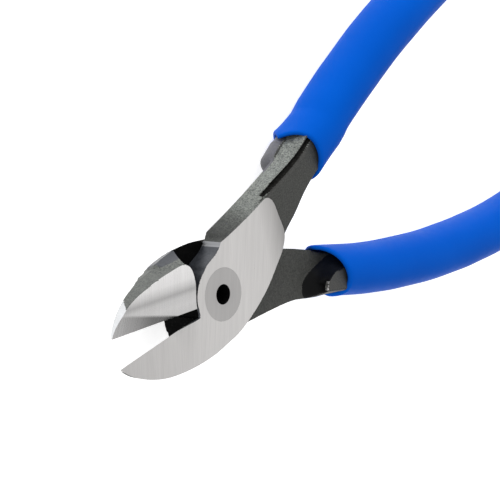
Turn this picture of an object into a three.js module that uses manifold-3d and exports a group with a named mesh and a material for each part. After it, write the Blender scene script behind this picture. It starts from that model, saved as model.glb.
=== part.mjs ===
// Diagonal cutting pliers with a lap joint, 180 mm class, in the part-open pose.
// Millimetres. The pivot axis is Z. +Z points out of the flush-ground front face, +X runs
// from the pivot to the jaw tips, and the origin is on the pivot axis in the plane of the
// ground back face of the head.
//
// Five pieces: the front lever (lower jaw, upper handle), the rear lever (upper jaw, lower
// handle), the pivot rivet and one dipped vinyl sleeve on each handle.

import * as THREE from "three";
import { mergeVertices } from "three/addons/utils/BufferGeometryUtils.js";
import Module from "manifold-3d";

const wasm = await Module();
wasm.setup();

// ---- driving dimensions ---------------------------------------------------------------
const HEAD_T = 10; // thickness of the head between its two ground faces
const LAP = 0.15; // each lap face stands this far off the middle plane
const LAP_R = 7.55; // radius of the lap disc of each lever
const RECESS_R = 7.9; // radius of the seat the other lever's lap disc turns in
const FORGED_DROP = 0.3; // the forged neck lies this far under the ground face
const EDGE_IN = 7.4; // where the cutting edge begins, from the pivot
const EDGE_OUT = 30.3; // where it ends, at the tip
const EDGE_SIDE = 1.42; // sideways offset of both edges from the pivot
const EDGE_PLAY = 0.1; // each edge keeps this far from the closed line
const EDGE_Z = 4; // height of the edges over the middle plane
const FRONT_EDGE_DEG = 1.6; // direction of the front lever's edge
const REAR_EDGE_DEG = -9.9; // direction of the rear lever's edge
const WEDGE_DEG = 54; // angle between the front face and the long back bevel
const ROOT_R = 8.3; // the long bevel runs in to this distance from the pivot
const RIVET_HEAD_R = 5.4;
const RIVET_SHANK_R = 3.4;
const RIVET_HEAD_T = 1.2;
const RIVET_GAP = 0.05;
const DIMPLE_R = 2.0; // blind hole in the rivet's front end
const DIMPLE_DEPTH = 8.2;
const SLEEVE_WALL = 1.15;
const SLEEVE_GAP = 0.3;
// slant of each sleeve's mouth across its width, how far its front and back are cut away, and
// how much more of that falls on the outer side
const MOUTH_REAR = [-0.52, 2.7, 0];
const MOUTH_FRONT = [0.08, 3.0, 0.3];
const SPREAD_DEG = 7.2; // the front lever's handle stands this much wider than the rear one's

const Z = HEAD_T / 2; // half thickness; shapes below are drawn about the middle plane
const RAD = Math.PI / 180;

// ---- solids ---------------------------------------------------------------------------
function solid(geometry) {
  const g = geometry.index ? geometry.toNonIndexed() : geometry.clone();
  const bare = new THREE.BufferGeometry().setAttribute("position", g.getAttribute("position"));
  const merged = mergeVertices(bare, 1e-4);
  let tri = new Uint32Array(merged.index.array);
  const make = () =>
    new wasm.Manifold(new wasm.Mesh({ numProp: 3, vertProperties: merged.attributes.position.array, triVerts: tri }));
  let made = make();
  if (made.volume() < 0) {
    for (let i = 0; i < tri.length; i += 3) [tri[i + 1], tri[i + 2]] = [tri[i + 2], tri[i + 1]];
    made = make();
  }
  return made;
}

function geometryOf(made) {
  const mesh = made.getMesh();
  const g = new THREE.BufferGeometry();
  g.setAttribute("position", new THREE.BufferAttribute(new Float32Array(mesh.vertProperties), mesh.numProp));
  g.setIndex(new THREE.BufferAttribute(new Uint32Array(mesh.triVerts), 1));
  g.computeVertexNormals();
  return g;
}

// A straight prism on an outline, from z0 to z1.
function prism(outline, z0, z1) {
  const shape = new THREE.Shape(outline.map(([x, y]) => new THREE.Vector2(x, y)));
  const g = new THREE.ExtrudeGeometry(shape, { depth: z1 - z0, bevelEnabled: false, steps: 1 });
  g.translate(0, 0, z0);
  return solid(g);
}

function disc(radius, z0, z1, x = 0, y = 0, sides = 64) {
  const g = new THREE.CylinderGeometry(radius, radius, z1 - z0, sides);
  g.rotateX(Math.PI / 2);
  g.translate(x, y, (z0 + z1) / 2);
  return solid(g);
}

// A body through outlines of equal point count at several heights.
function drafted(levels) {
  const n = levels[0].outline.length;
  const pos = [];
  const put = (p, q, r) => pos.push(...p, ...q, ...r);
  const at = (k, i) => [...levels[k].outline[i % n], levels[k].z];
  for (let k = 0; k + 1 < levels.length; k++)
    for (let i = 0; i < n; i++) {
      put(at(k, i), at(k, i + 1), at(k + 1, i + 1));
      put(at(k, i), at(k + 1, i + 1), at(k + 1, i));
    }
  for (const k of [0, levels.length - 1]) {
    const flat = levels[k].outline.map(([x, y]) => new THREE.Vector2(x, y));
    for (const [a, b, c] of THREE.ShapeUtils.triangulateShape(flat, [])) {
      const t = [at(k, a), at(k, b), at(k, c)];
      const up = (t[1][0] - t[0][0]) * (t[2][1] - t[0][1]) - (t[1][1] - t[0][1]) * (t[2][0] - t[0][0]) > 0;
      const sideUp = signedArea(levels[k].outline) > 0;
      if ((k === 0) === (up === sideUp)) put(t[0], t[2], t[1]);
      else put(t[0], t[1], t[2]);
    }
  }
  const g = new THREE.BufferGeometry().setAttribute("position", new THREE.Float32BufferAttribute(pos, 3));
  return solid(g);
}

function signedArea(outline) {
  let sum = 0;
  outline.forEach(([x, y], i) => {
    const [u, v] = outline[(i + 1) % outline.length];
    sum += x * v - u * y;
  });
  return sum / 2;
}

// A body through oval rings along a handle. Each ring has its centre, heading, half width in
// the plane of the tool, half thickness along Z, and the height of its middle.
function ovalBody(rings, sides = 24, power = 2.3) {
  const points = rings.map((r) => {
    const c = Math.cos(r.heading), s = Math.sin(r.heading);
    const ring = [];
    for (let i = 0; i < sides; i++) {
      const t = (2 * Math.PI * i) / sides;
      const u = Math.sign(Math.cos(t)) * Math.abs(Math.cos(t)) ** (2 / power) * r.half;
      const w = Math.sign(Math.sin(t)) * Math.abs(Math.sin(t)) ** (2 / power) * r.thick;
      const lean = (r.lean ?? 0) * u + ((r.rake ?? 0) + (r.skew ?? 0) * u) * (Math.abs(w) / r.thick);
      ring.push([r.x - s * u + c * lean, r.y + c * u + s * lean, r.z + w]);
    }
    return ring;
  });
  const pos = [];
  const put = (...t) => t.forEach((p) => pos.push(...p));
  for (let k = 0; k + 1 < points.length; k++)
    for (let i = 0; i < sides; i++) {
      const j = (i + 1) % sides;
      put(points[k][i], points[k][j], points[k + 1][j]);
      put(points[k][i], points[k + 1][j], points[k + 1][i]);
    }
  const centre = (ring) => [0, 1, 2].map((a) => ring.reduce((m, p) => m + p[a], 0) / ring.length);
  for (let i = 0; i < sides; i++) {
    const j = (i + 1) % sides;
    put(centre(points[0]), points[0][j], points[0][i]);
    const last = points[points.length - 1];
    put(centre(last), last[i], last[j]);
  }
  return solid(new THREE.BufferGeometry().setAttribute("position", new THREE.Float32BufferAttribute(pos, 3)));
}

const arc = (r, from, to, steps) =>
  Array.from({ length: steps + 1 }, (_, i) => {
    const a = (from + ((to - from) * i) / steps) * RAD;
    return [r * Math.cos(a), r * Math.sin(a)];
  });

// A prism whose section is drawn across a cutting edge: v runs away from the edge into the
// jaw, w is the height. side is +1 for a jaw on the +Y side of its edge.
function alongEdge(section, deg, offset, side, from, to) {
  const c = Math.cos(deg * RAD), s = Math.sin(deg * RAD);
  const point = (u, v, w) => {
    const n = offset + side * v;
    return [c * u - s * n, s * u + c * n, w];
  };
  const n = section.length;
  const pos = [];
  for (let i = 0; i < n; i++) {
    const j = (i + 1) % n;
    const [a, b] = [section[i], section[j]];
    pos.push(...point(from, ...a), ...point(from, ...b), ...point(to, ...b));
    pos.push(...point(from, ...a), ...point(to, ...b), ...point(to, ...a));
  }
  const flat = section.map(([x, y]) => new THREE.Vector2(x, y));
  for (const [a, b, c2] of THREE.ShapeUtils.triangulateShape(flat, [])) {
    const turned = signedArea(section) > 0;
    const t = turned ? [a, b, c2] : [a, c2, b];
    pos.push(...point(from, ...section[t[0]]), ...point(from, ...section[t[2]]), ...point(from, ...section[t[1]]));
    pos.push(...point(to, ...section[t[0]]), ...point(to, ...section[t[1]]), ...point(to, ...section[t[2]]));
  }
  return solid(new THREE.BufferGeometry().setAttribute("position", new THREE.Float32BufferAttribute(pos, 3)));
}

// ---- handles --------------------------------------------------------------------------
// Centre line of the rear lever's handle with the sleeve's half width and half thickness.
const HANDLE = [
  [-35.9, 10.7, 6.1, 6.3],
  [-38.4, 11.55, 5.9, 6.4],
  [-42.0, 12.9, 5.85, 6.45],
  [-46.4, 14.6, 5.9, 6.5],
  [-49.7, 15.8, 5.95, 6.5],
  [-54.2, 17.3, 6.0, 6.55],
  [-58.7, 18.7, 6.1, 6.6],
  [-63.4, 20.0, 6.15, 6.6],
  [-68.2, 21.3, 6.2, 6.65],
  [-73.2, 22.6, 6.25, 6.7],
  [-78.3, 23.7, 6.3, 6.7],
  [-83.6, 24.7, 6.35, 6.75],
  [-88.9, 25.7, 6.4, 6.8],
  [-94.5, 26.5, 6.4, 6.8],
  [-100.3, 27.3, 6.45, 6.8],
  [-106.1, 27.9, 6.45, 6.8],
  [-112.0, 28.3, 6.5, 6.8],
  [-119.0, 28.5, 6.5, 6.75],
  [-126.0, 28.3, 6.5, 6.7],
  [-133.0, 27.8, 6.45, 6.6],
  [-139.0, 27.1, 6.3, 6.4],
  [-143.5, 26.4, 5.9, 6.0],
  [-146.6, 25.9, 5.2, 5.3],
  [-148.4, 25.6, 4.1, 4.2],
  [-149.3, 25.4, 2.4, 2.4],
];

const turn = ([x, y], deg) => {
  const c = Math.cos(deg * RAD), s = Math.sin(deg * RAD);
  return [c * x - s * y, s * x + c * y];
};

// Stations of a handle: side +1 is the rear lever's, -1 the front lever's mirrored copy.
function stations(side) {
  const line = HANDLE.map(([x, y, half, thick]) => {
    const [px, py] = side > 0 ? [x, y] : turn([x, -y], SPREAD_DEG);
    return { x: px, y: py, half, thick, z: 0 };
  });
  if (side < 0)
    [[-34.0, -16.3, 6.9], [-36.9, -17.25, 6.45], [-40.3, -18.5, 6.15], [-44.6, -20.15, 6.0]].forEach(([x, y, half], i) =>
      Object.assign(line[i], { x, y, half }),
    );
  line.forEach((p, i) => {
    const a = line[Math.max(i - 1, 0)], b = line[Math.min(i + 1, line.length - 1)];
    p.heading = Math.atan2(b.y - a.y, b.x - a.x);
  });
  return line;
}

// The mouth of each sleeve is cut at a slant.
function sleeve(side, tang) {
  const outer = stations(side).map((p) => ({ ...p }));
  const [lean, rake, skew] = side > 0 ? MOUTH_REAR : MOUTH_FRONT;
  [1, 0.65, 0.3].forEach((share, i) => Object.assign(outer[i], { lean: lean * share, rake: rake * share, skew: skew * share }));
  outer[0].half -= 0.35;
  outer[0].thick -= 0.35;
  return ovalBody(outer, 28).subtract(tang);
}

// Steel inside the sleeve, with the sleeve's wall and a gap taken off when grow is 0.
function tangRings(side, grow) {
  const line = stations(side);
  const rings = [];
  line.forEach((p, i) => {
    if (i > 19) return;
    if (i === 0 && grow > 0) {
      const c = Math.cos(p.heading), s = Math.sin(p.heading);
      rings.push({ ...p, x: p.x - 4 * c, y: p.y - 4 * s, half: 5.4, thick: 5.2 });
    }
    const less = SLEEVE_WALL + SLEEVE_GAP - grow + (i === 19 ? 1.2 : 0);
    rings.push({ ...p, half: p.half - less, thick: p.thick - less - 0.15 });
  });
  return rings;
}

// ---- front lever ----------------------------------------------------------------------
// Outline of the ground front face, from the tip round the belly, the heel and the lap arc.
const FRONT_FACE = [
  [30.0, 2.32],
  [28.9, 3.6], [27.0, 5.35], [23.9, 7.3], [20, 8.9], [15, 10.0], [10, 10.5], [5.7, 10.5],
  [2.1, 10.05], [-1.5, 9.5], [-5, 8.4], [-10, 6.1], [-13.6, 3.9], [-17.1, 1.1], [-20, -1.4],
  [-21.4, -3.6], [-21.75, -5], [-21.1, -8.6], [-20.4, -11.8], [-19.5, -13.1], [-18.4, -13.65],
  [-17.2, -13.4], [-15.7, -13.0], [-10, -11.6], [-4.6, -10.5], [-2.7, -10.2], [-2.3, -9.5],
  [-0.6, -8.5], [1.2, -7.95], [2.6, -7.35],
  ...arc(LAP_R, -66, 8, 10),
  [7.75, 1.6],
];

const NECK_FRONT_TOP = [
  [-2.8, -10.3], [-4.6, -10.6], [-10, -11.7], [-15.7, -13.15], [-18.2, -14.3], [-26.5, -17.4],
  [-31.6, -19.1], [-32.9, -11.7], [-30, -9.9], [-22, -5.1],
  [-17, 0.2], [-10, 3], [-3, 3], [-2.6, -6],
];
const NECK_FRONT_LOW = [
  [-2.8, -9.9], [-3.9, -11.1], [-9.6, -12.75], [-15.4, -14.45], [-18.4, -15.3], [-24.9, -17.2],
  [-31.2, -19.55], [-33.2, -10.9], [-31, -9.4], [-23, -4.3],
  [-17, 0.2], [-10, 3], [-3, 3], [-2.6, -6],
];

function frontLever() {
  const jawLow = [
    [30.0, 2.32],
    [28.9, 3.6], [27.0, 5.35], [23.9, 7.3], [20, 8.9], [15, 10.2], [10, 11.3], [6.6, 11.3],
    [6.4, 8.6], [6.8, 5.2], [7.9, 1.6],
  ];
  const jawTop = [
    [30.0, 2.32],
    [28.9, 3.6], [27.0, 5.35], [23.9, 7.3], [20, 8.9], [15, 10.0], [10, 10.5], [6.6, 10.5],
    [6.4, 8.6], [6.8, 5.2], [7.9, 1.6],
  ];
  const jawBack = jawTop.map(([x, y]) => [x, y > 6 ? y - 0.6 : y]);
  let body = prism(FRONT_FACE, LAP, Z)
    .add(drafted([
      { z: -Z, outline: jawBack },
      { z: 0, outline: jawLow },
      { z: Z - 0.2, outline: jawTop },
    ]).subtract(disc(RECESS_R, -Z - 1, LAP)))
    .add(drafted([
      { z: LAP, outline: NECK_FRONT_LOW },
      { z: Z - FORGED_DROP, outline: NECK_FRONT_TOP },
    ]));
  const rings = tangRings(-1, 0);
  const first = rings[0];
  const back = (x, y, half, low, top) => ({
    x, y, half, heading: first.heading, thick: (top - low) / 2, z: (top + low) / 2,
  });
  body = body.add(ovalBody([
    back(-27.6, -13.0, 2.4, 0.5, 2.6),
    back(-28.0, -13.3, 3.6, -1.6, 3.6),
    back(-29.0, -13.7, 4.5, -3.0, 4.1),
    back(-30.6, -14.4, 5.0, -4.2, 4.4),
    back(-32.4, -15.2, 5.1, -4.7, 4.7),
    ...rings,
  ]));
  return trimJaw(body, FRONT_EDGE_DEG, EDGE_SIDE + EDGE_PLAY, +1, [[-3, 3.75], [0, EDGE_Z], [7.2, Z + 0.02], [7.2, Z + 3], [-3, Z + 3]])
    .subtract(rivetRoom(1));
}

// ---- rear lever -----------------------------------------------------------------------
const REAR_PLATE = [
  ...arc(LAP_R, -30, 70, 12),
  [1.3, 8.2], [-1.6, 9.0], [-2.4, 10.1], [-9.9, 10.9], [-20, 12.2], [-28.1, 13.5], [-32.8, 15.0],
  [-31.9, 3.8], [-29.5, 2.6], [-25.4, 0.8], [-21.8, -1.4], [-19.5, -3.0], [-15, -5.8],
  [-10, -8.1], [-5, -9.7], [-2.8, -10.1], [1.2, -10.9], [5.8, -11.4], [6.9, -10.6], [7.4, -4.5],
];
// The forged flanks lean in towards the back face.
const leanIn = (outline, by, from) => outline.map(([x, y]) => [x, y < from ? y + by : y]);
const REAR_PLATE_MID = leanIn(REAR_PLATE, 1.0, -5);
const REAR_PLATE_LOW = leanIn(REAR_PLATE, 2.5, -5);

function rearLever() {
  const jawTop = [
    [30.1, -3.8],
    [29.2, -5.1], [27.5, -6.7], [25, -8.25], [22, -9.2], [18.5, -9.8], [15, -10.0], [11.4, -10.05],
    [8.6, -9.85], [7.4, -9.4], [6.7, -8.4], [6.6, -5.7], [7.35, -3.1], [7.95, -0.3], [8.1, 0.2],
  ];
  const jawMid = [
    [30.1, -3.8],
    [29.2, -5.1], [27.5, -6.7], [25, -8.25], [22, -9.2], [18.5, -9.8], [13.9, -10.05], [13.3, -10.45],
    [10.1, -11.3], [5.8, -11.4], [6.0, -8.4], [6.6, -5.7], [7.35, -3.1], [7.95, -0.3], [8.1, 0.2],
  ];
  let body = drafted([
    { z: -Z, outline: REAR_PLATE_LOW },
    { z: -Z / 2, outline: REAR_PLATE_MID },
    { z: -LAP, outline: REAR_PLATE },
  ]).add(drafted([
    { z: -Z, outline: leanIn(jawMid, 2.9, -6) },
    { z: -Z / 2, outline: leanIn(jawMid, 1.2, -6) },
    { z: 0, outline: jawMid },
    { z: Z, outline: jawTop },
  ]).subtract(disc(RECESS_R, -LAP, Z + 1)));
  const rings = tangRings(1, 0);
  const first = rings[0];
  const front = (x, y, half, top) => ({
    x, y, half, heading: first.heading, thick: (top + 4.6) / 2, z: (top - 4.6) / 2,
  });
  body = body.add(ovalBody([
    front(-26.8, 7.6, 3.4, -0.4),
    front(-28.6, 8.2, 4.2, 0.7),
    front(-30.6, 8.9, 4.7, 2.2),
    front(-32.2, 9.5, 5.0, 3.9),
    front(-33.6, 10.0, 5.1, 4.7),
    ...rings,
  ]));
  return trimJaw(body, REAR_EDGE_DEG, EDGE_SIDE - EDGE_PLAY, -1, [[-3, 3.2], [0, EDGE_Z], [2.0, 4.9], [6.5, Z + 0.02], [6.5, Z + 3], [-3, Z + 3]])
    .subtract(rivetRoom(-1));
}

// Cuts shared by both jaws: the narrow front facet, the long back bevel, the taper of the
// nose behind the edge, and a straight gap wall beside the pivot.
function trimJaw(body, deg, offset, side, facet) {
  const run = (2 * Z + 1) / Math.tan(WEDGE_DEG * RAD);
  const bevel = alongEdge(
    [[-6, EDGE_Z], [0, EDGE_Z], [run, EDGE_Z - 2 * Z - 1], [-6, EDGE_Z - 2 * Z - 1]],
    deg, offset, side, ROOT_R, EDGE_OUT + 4,
  );
  const gap = alongEdge([[-4, -Z - 1], [0, -Z - 1], [0, Z + 1], [-4, Z + 1]], deg, offset, side, EDGE_IN + 0.3, EDGE_OUT + 4);
  const nose = (() => {
    const shape = [[12, -Z - 2], [12, -Z], [18, -0.4], [22, 1.6], [27, 3.0], [33, 4.1], [33, -Z - 2]];
    const g = new THREE.ExtrudeGeometry(new THREE.Shape(shape.map(([x, y]) => new THREE.Vector2(x, y))), { depth: 60, bevelEnabled: false });
    g.rotateX(Math.PI / 2);
    g.translate(0, 30, 0);
    return solid(g);
  })();
  return body.subtract(alongEdge(facet, deg, offset, side, EDGE_IN + 0.3, EDGE_OUT + 4)).subtract(bevel).subtract(gap).subtract(nose);
}

// ---- rivet ----------------------------------------------------------------------------
function rivetRoom(side) {
  const head = side > 0
    ? disc(RIVET_HEAD_R + RIVET_GAP, Z - RIVET_HEAD_T - RIVET_GAP, Z + 1)
    : disc(RIVET_HEAD_R + RIVET_GAP, -Z - 1, -Z + RIVET_HEAD_T + RIVET_GAP);
  return disc(RIVET_SHANK_R + RIVET_GAP, -Z - 1, Z + 1).add(head);
}

function rivet() {
  return disc(RIVET_SHANK_R, -Z + 0.5, Z - 0.5)
    .add(disc(RIVET_HEAD_R, Z - RIVET_HEAD_T, Z))
    .add(disc(RIVET_HEAD_R, -Z, -Z + RIVET_HEAD_T))
    .subtract(disc(DIMPLE_R, Z - DIMPLE_DEPTH, Z + 1, 0, 0, 48));
}

// ---- the object -----------------------------------------------------------------------
const pliers = new THREE.Group();
pliers.name = "diagonal_cutting_pliers";

function piece(name, made, colour, roughness, metalness) {
  const mesh = new THREE.Mesh(
    geometryOf(made),
    new THREE.MeshStandardMaterial({ name, color: new THREE.Color(...colour), roughness, metalness }),
  );
  mesh.name = name;
  mesh.position.z = Z;
  pliers.add(mesh);
}

piece("front_lever", frontLever(), [0.6, 0.59, 0.58], 0.38, 0.9);
piece("rear_lever", rearLever(), [0.6, 0.59, 0.58], 0.38, 0.9);
piece("pivot_rivet", rivet(), [0.42, 0.42, 0.41], 0.4, 0.9);
piece("front_grip", sleeve(-1, ovalBody(tangRings(-1, SLEEVE_GAP))), [0.0, 0.09, 0.6], 0.45, 0);
piece("rear_grip", sleeve(1, ovalBody(tangRings(1, SLEEVE_GAP))), [0.0, 0.09, 0.6], 0.45, 0);

export default pliers;
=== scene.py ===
# Diagonal cutting pliers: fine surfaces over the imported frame.
# Shapes are drawn in millimetres about the middle plane of the head, with the pivot on Z.
# mesh_object moves them to the frame: metres, with the back face of the head at z = 0.
# x runs towards the tips. The front lever has its jaw on the +y side and its handle on the
# -y side; the rear lever has them the other way round.
import math

import bpy
import numpy as np
from mathutils import Matrix, Vector


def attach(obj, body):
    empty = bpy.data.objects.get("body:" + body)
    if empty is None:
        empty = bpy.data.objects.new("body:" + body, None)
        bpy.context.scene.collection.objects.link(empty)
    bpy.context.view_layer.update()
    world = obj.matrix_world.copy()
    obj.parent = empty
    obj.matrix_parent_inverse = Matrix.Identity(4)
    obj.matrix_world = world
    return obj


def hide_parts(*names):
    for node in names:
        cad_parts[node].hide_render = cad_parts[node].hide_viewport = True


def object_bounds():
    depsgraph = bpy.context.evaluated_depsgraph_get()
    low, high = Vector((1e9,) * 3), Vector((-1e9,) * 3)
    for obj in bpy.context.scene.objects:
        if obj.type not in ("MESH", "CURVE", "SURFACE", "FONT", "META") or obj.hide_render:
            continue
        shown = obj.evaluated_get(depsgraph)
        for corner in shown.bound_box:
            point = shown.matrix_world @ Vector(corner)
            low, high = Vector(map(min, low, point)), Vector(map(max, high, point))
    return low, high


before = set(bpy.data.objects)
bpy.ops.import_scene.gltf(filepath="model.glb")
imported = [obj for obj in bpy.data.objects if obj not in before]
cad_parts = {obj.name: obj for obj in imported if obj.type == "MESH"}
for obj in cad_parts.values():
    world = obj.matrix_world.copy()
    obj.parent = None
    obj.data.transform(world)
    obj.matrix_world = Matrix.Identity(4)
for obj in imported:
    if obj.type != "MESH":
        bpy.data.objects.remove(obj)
cad_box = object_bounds()

RAD = math.pi / 180
HALF = 5.0                  # half the thickness of the head
LAP = 0.15                  # the lap faces stand this far off the middle plane
DISC = 7.55                 # radius of each half's disc at the lap joint
SEAT = 7.9                  # radius of the seat cut for it in the other half
NECK_FLAT = 4.65            # height of the necks' front flats
NECK_BACK = -4.75           # height of the rear neck's back
STUB_END = 33               # how far along its line each tang is drawn, inside the sleeve
CELL, COARSE_CELL = 0.25, 0.5


# ---------------------------------------------------------------- plane curves and fields
def spline(points, corners=(), step=0.25, closed=True):
    """A smooth line through points, with the listed points kept as sharp corners."""
    pts = [np.array(p, float) for p in points]
    n = len(pts)
    corner = set(c % n for c in corners)
    out = []
    for i in range(n if closed else n - 1):
        p1, p2 = pts[i], pts[(i + 1) % n]
        p0 = pts[(i - 1) % n] if (closed or i > 0) and i not in corner else 2 * p1 - p2
        j = (i + 1) % n
        p3 = pts[(i + 2) % n] if (closed or i + 2 < n) and j not in corner else 2 * p2 - p1
        length = np.linalg.norm(p2 - p1)
        k = max(1, int(round(length / step)))
        # centripetal form keeps uneven spacing from overshooting
        t0 = 0.0
        t1 = t0 + max(np.linalg.norm(p1 - p0), 1e-6) ** 0.5
        t2 = t1 + max(length, 1e-6) ** 0.5
        t3 = t2 + max(np.linalg.norm(p3 - p2), 1e-6) ** 0.5
        for q in range(k):
            t = t1 + (t2 - t1) * q / k
            a1 = (t1 - t) / (t1 - t0) * p0 + (t - t0) / (t1 - t0) * p1
            a2 = (t2 - t) / (t2 - t1) * p1 + (t - t1) / (t2 - t1) * p2
            a3 = (t3 - t) / (t3 - t2) * p2 + (t - t2) / (t3 - t2) * p3
            b1 = (t2 - t) / (t2 - t0) * a1 + (t - t0) / (t2 - t0) * a2
            b2 = (t3 - t) / (t3 - t1) * a2 + (t - t1) / (t3 - t1) * a3
            out.append((t2 - t) / (t2 - t1) * b1 + (t - t1) / (t2 - t1) * b2)
    if not closed:
        out.append(pts[-1])
    return np.array(out)


def arc(radius, start, end, count):
    """Points on a circle about the pivot, between two angles in degrees."""
    angles = np.linspace(start, end, count) * RAD
    return [(radius * math.cos(a), radius * math.sin(a)) for a in angles]


def line_coordinates(px, py, pts):
    """Distance along an open line and signed offset to its left."""
    best = np.full(px.shape, 1e9)
    along = np.zeros(px.shape)
    side = np.zeros(px.shape)
    s = 0.0
    last = len(pts) - 2
    for i in range(len(pts) - 1):
        (ax, ay), (bx, by) = pts[i], pts[i + 1]
        ex, ey = bx - ax, by - ay
        length = math.hypot(ex, ey)
        wx, wy = px - ax, py - ay
        t = (wx * ex + wy * ey) / (length * length)
        # the first and last pieces run on past their ends
        t = np.clip(t, -1e3 if i == 0 else 0, 1e3 if i == last else 1)
        d = (wx - ex * t) ** 2 + (wy - ey * t) ** 2
        near = d < best
        best = np.where(near, d, best)
        along = np.where(near, s + t * length, along)
        side = np.where(near, (ex * wy - ey * wx) / length, side)
        s += length
    return along, side


class Plane:
    """Values over the tool's plane on a fine grid, read back by bilinear interpolation."""

    STEP = 0.1

    def __init__(self, x0, x1, y0, y1):
        self.x = np.arange(x0, x1 + self.STEP, self.STEP)
        self.y = np.arange(y0, y1 + self.STEP, self.STEP)
        self.gx, self.gy = np.meshgrid(self.x, self.y, indexing="ij")

    def outline(self, poly):
        """Signed distance to a closed outline, negative inside."""
        px, py = self.gx.ravel(), self.gy.ravel()
        best = np.full(px.shape, 1e9)
        inside = np.zeros(px.shape, bool)
        a = np.asarray(poly)
        b = np.roll(a, -1, axis=0)
        for (ax, ay), (bx, by) in zip(a, b):
            ex, ey = bx - ax, by - ay
            wx, wy = px - ax, py - ay
            t = np.clip((wx * ex + wy * ey) / (ex * ex + ey * ey + 1e-12), 0, 1)
            d = (wx - ex * t) ** 2 + (wy - ey * t) ** 2
            np.minimum(best, d, out=best)
            if ay != by:
                crosses = ((ay <= py) != (by <= py)) & (px < ax + (py - ay) * ex / (by - ay))
                inside ^= crosses
        d = np.sqrt(best)
        return np.where(inside, -d, d).reshape(self.gx.shape)

    def line(self, pts):
        """Distance along an open line, and offset to its left."""
        along, side = line_coordinates(self.gx.ravel(), self.gy.ravel(), pts)
        return along.reshape(self.gx.shape), side.reshape(self.gx.shape)

    def read(self, field, x, y):
        """A field's values at points; outside the grid, those at its border."""
        u = np.clip((x - self.x[0]) / self.STEP, 0, len(self.x) - 1.001)
        v = np.clip((y - self.y[0]) / self.STEP, 0, len(self.y) - 1.001)
        i, j = u.astype(int), v.astype(int)
        a, b = u - i, v - j
        return ((field[i, j] * (1 - a) + field[i + 1, j] * a) * (1 - b)
                + (field[i, j + 1] * (1 - a) + field[i + 1, j + 1] * a) * b)


# ---------------------------------------------------------------- solids as distance functions
def smax(a, b, r):
    """The larger of two distances, blended where they are closer than r."""
    h = np.clip(0.5 + 0.5 * (a - b) / r, 0, 1)
    return b + (a - b) * h + r * h * (1 - h)


def smin(a, b, r):
    return -smax(-a, -b, r)


def ramp01(x, a, b):
    """A smooth step from 0 at a to 1 at b."""
    t = np.clip((x - a) / (b - a), 0, 1)
    return t * t * (3 - 2 * t)


PROBE = 0.01        # step for normals
PULL = 0.05         # pull of a vertex towards the mean of its cell's crossings
OVERHANG = 0.1      # how far a vertex may stand outside its cell, in cells


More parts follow.
